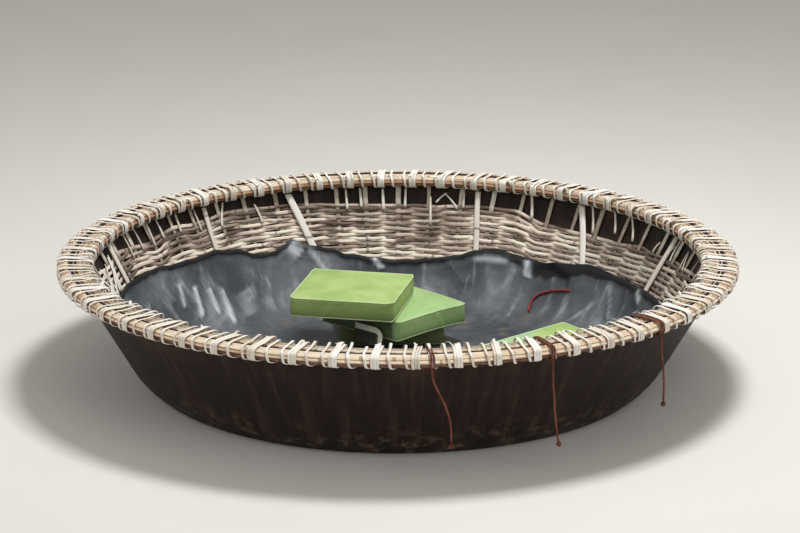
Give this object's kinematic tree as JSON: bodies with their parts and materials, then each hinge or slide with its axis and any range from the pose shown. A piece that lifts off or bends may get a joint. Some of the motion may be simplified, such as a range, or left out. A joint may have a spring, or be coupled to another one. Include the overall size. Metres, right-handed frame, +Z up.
{
  "type": "coracle",
  "caption": "Round flat-bottomed basket boat of woven split bamboo with a tarred skin, a lashed double-hoop rim, a plastic liner and loose seat pads.",
  "frame": {"origin": "centre of the flat bottom, on the underside of the skin", "axes": "+Z up; the boat is round, with +Y towards the heap of seat pads and -Y towards the tie cords"},
  "size_m": [2.3104, 2.3104, 0.4673],
  "materials": {
    "tarred_skin": "dull tar over sheet, streaked",
    "bamboo_weft": "split bamboo, dry and weathered",
    "bamboo_stake": "split bamboo, dry and weathered",
    "bamboo_rib": "pale bamboo splits",
    "bamboo_split": "wide bamboo splits",
    "liner_sheet": "creased plastic sheet with a satin sheen",
    "bamboo_hoop": "split bamboo, sun bleached on top",
    "cane_lashing": "split cane, worn pale",
    "red_cord": "red-brown twisted cord",
    "red_string": "red cord, loosely laid",
    "pad_vinyl": "green vinyl, light sheen"
  },
  "bodies": {
    "root": {"outer_skin": "tarred_skin", "wall_weave": "bamboo_weft", "wall_stakes": "bamboo_stake", "long_ribs": "bamboo_rib", "floor_splits": "bamboo_split", "floor_liner": "liner_sheet", "outer_hoop": "bamboo_hoop", "inner_hoop": "bamboo_hoop", "rim_lashings": "cane_lashing", "rim_ties": "red_cord", "tie_cord_left": "red_cord", "tie_cord_middle": "red_cord", "tie_cord_right": "red_cord", "cord_knot_left": "red_cord", "cord_knot_middle": "red_cord", "cord_knot_right": "red_cord", "inner_string": "red_string", "seat_pad_1": "pad_vinyl", "seat_pad_2": "pad_vinyl", "seat_pad_3": "pad_vinyl", "seat_pad_4": "pad_vinyl"}
  },
  "joints": []
}
